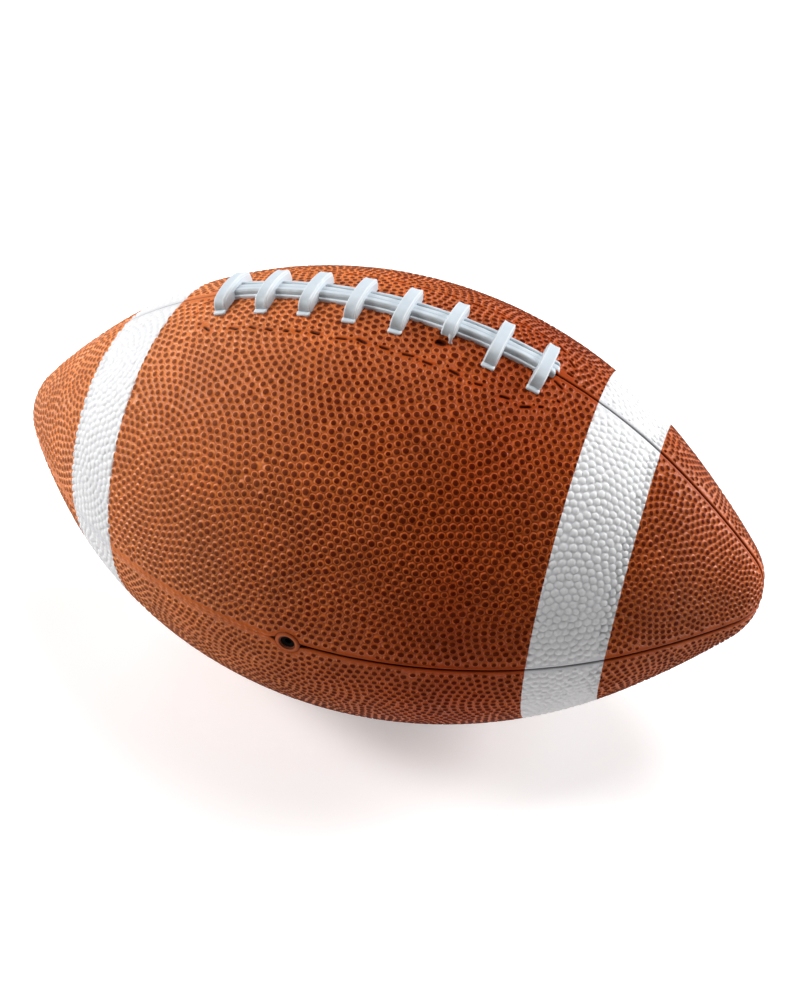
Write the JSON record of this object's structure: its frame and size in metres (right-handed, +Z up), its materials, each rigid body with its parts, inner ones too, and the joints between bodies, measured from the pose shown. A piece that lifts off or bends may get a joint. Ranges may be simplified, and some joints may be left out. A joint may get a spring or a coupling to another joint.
{
  "type": "american football",
  "caption": "Spindle-shaped inflatable ball with pebbled rubber panels over a wound carcass, white rings, a raised cross-barred lace and a needle valve in the front seam.",
  "frame": {"origin": "on the floor under the middle of the ball, at the bottom centre of its box", "axes": "+X along the ball's long axis, +Z up through the middle of the laces, -Y out through the valve"},
  "size_m": [0.2838, 0.1619, 0.1673],
  "materials": {
    "cover": "pebbled satin, orange brown with darker grain tops",
    "ring": "white coat, pebbled satin",
    "carcass": "matt, dark brown",
    "thread": "wound nylon thread set in latex",
    "bladder": "smooth black butyl",
    "valve_rubber": "smooth satin, brown",
    "valve_plug": "smooth black butyl",
    "lace": "smooth satin, pale bluish white"
  },
  "bodies": {
    "root": {"bladder": "bladder", "valve_housing": "valve_rubber", "valve_core": "valve_plug", "thread_winding": "thread", "carcass": "carcass", "panel_upper_front": "cover", "panel_upper_back": "cover", "panel_lower_front": "cover", "panel_lower_back": "cover", "ring_left": "ring", "ring_right": "ring", "lace_backbone": "lace", "lace_bar_1": "lace", "lace_bar_2": "lace", "lace_bar_3": "lace", "lace_bar_4": "lace", "lace_bar_5": "lace", "lace_bar_6": "lace", "lace_bar_7": "lace", "lace_bar_8": "lace"}
  },
  "joints": []
}
